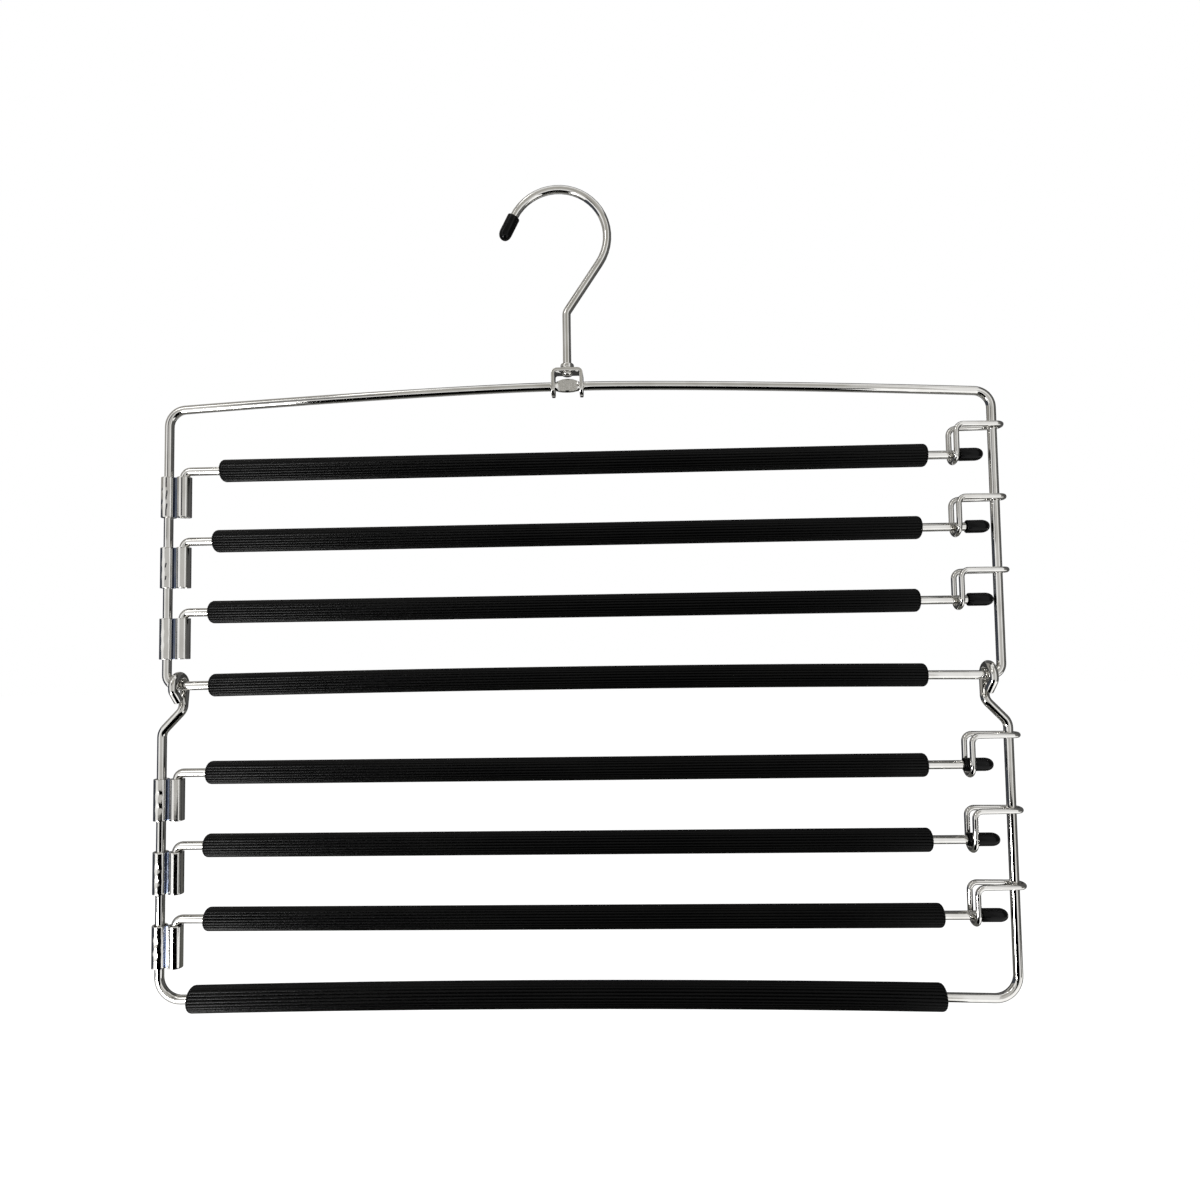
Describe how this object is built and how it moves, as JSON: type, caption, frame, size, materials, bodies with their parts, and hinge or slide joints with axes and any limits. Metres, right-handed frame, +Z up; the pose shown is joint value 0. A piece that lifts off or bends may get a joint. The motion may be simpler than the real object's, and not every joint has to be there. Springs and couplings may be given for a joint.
{
  "type": "folding trouser hanger",
  "caption": "Wire trouser hanger of an upper and a lower frame hinged at a fold bar under a swivel hook, with foam-sleeved swing arms that rest in wire catches.",
  "frame": {"origin": "where a wardrobe rod bears, at the inner top of the hook", "axes": "+Z up, +X along the bars from the pintles to the catches, -Y the front, so the hanger's thin way is Y"},
  "size_m": [0.3842, 0.014, 0.3711],
  "materials": {
    "chrome": "bright plated steel wire and sheet",
    "foam": "matt black foam rubber tube with fine lengthwise ribs",
    "vinyl": "glossy black dipped vinyl"
  },
  "bodies": {
    "hook": {"hook": "chrome", "hook_tip_cap": "vinyl"},
    "swivel_bracket": {"swivel_bracket": "chrome"},
    "upper_frame": {"upper_frame": "chrome", "fold_bar_sleeve": "foam", "arm_1_clip": "chrome", "arm_1_catch": "chrome", "arm_2_clip": "chrome", "arm_2_catch": "chrome", "arm_3_clip": "chrome", "arm_3_catch": "chrome"},
    "lower_frame": {"lower_frame": "chrome", "bottom_bar_sleeve": "foam", "arm_4_clip": "chrome", "arm_4_catch": "chrome", "arm_5_clip": "chrome", "arm_5_catch": "chrome", "arm_6_clip": "chrome", "arm_6_catch": "chrome"},
    "arm_1": {"arm_1_wire": "chrome", "arm_1_sleeve": "foam", "arm_1_tip_cap": "vinyl"},
    "arm_2": {"arm_2_wire": "chrome", "arm_2_sleeve": "foam", "arm_2_tip_cap": "vinyl"},
    "arm_3": {"arm_3_wire": "chrome", "arm_3_sleeve": "foam", "arm_3_tip_cap": "vinyl"},
    "arm_4": {"arm_4_wire": "chrome", "arm_4_sleeve": "foam", "arm_4_tip_cap": "vinyl"},
    "arm_5": {"arm_5_wire": "chrome", "arm_5_sleeve": "foam", "arm_5_tip_cap": "vinyl"},
    "arm_6": {"arm_6_wire": "chrome", "arm_6_sleeve": "foam", "arm_6_tip_cap": "vinyl"}
  },
  "joints": [
    {"name": "hook_swivel", "type": "hinge", "parent": "hook", "child": "swivel_bracket", "pos_m": [0.0035, 0, -0.08253], "axis": [0, 0, 1], "continuous": true},
    {"name": "frame_tilt", "type": "hinge", "parent": "swivel_bracket", "child": "upper_frame", "pos_m": [0.0035, 0, -0.09013], "axis": [-1, 0, 0], "range_deg": [-150, 150]},
    {"name": "frame_fold", "type": "hinge", "parent": "upper_frame", "child": "lower_frame", "pos_m": [0.0062, 0, -0.22323], "axis": [1, 0, 0], "range_deg": [-150, 150]},
    {"name": "arm_1_swing", "type": "hinge", "parent": "upper_frame", "child": "arm_1", "pos_m": [-0.17285, 0, -0.12533], "axis": [0, 0, -1], "range_deg": [-140, 140]},
    {"name": "arm_2_swing", "type": "hinge", "parent": "upper_frame", "child": "arm_2", "pos_m": [-0.17285, 0, -0.15763], "axis": [0, 0, -1], "range_deg": [-140, 140]},
    {"name": "arm_3_swing", "type": "hinge", "parent": "upper_frame", "child": "arm_3", "pos_m": [-0.17285, 0, -0.18993], "axis": [0, 0, -1], "range_deg": [-140, 140]},
    {"name": "arm_4_swing", "type": "hinge", "parent": "lower_frame", "child": "arm_4", "pos_m": [-0.1747, 0, -0.26203], "axis": [0, 0, -1], "range_deg": [-140, 140]},
    {"name": "arm_5_swing", "type": "hinge", "parent": "lower_frame", "child": "arm_5", "pos_m": [-0.1747, 0, -0.29433], "axis": [0, 0, -1], "range_deg": [-140, 140]},
    {"name": "arm_6_swing", "type": "hinge", "parent": "lower_frame", "child": "arm_6", "pos_m": [-0.1747, 0, -0.32663], "axis": [0, 0, -1], "range_deg": [-140, 140]}
  ]
}
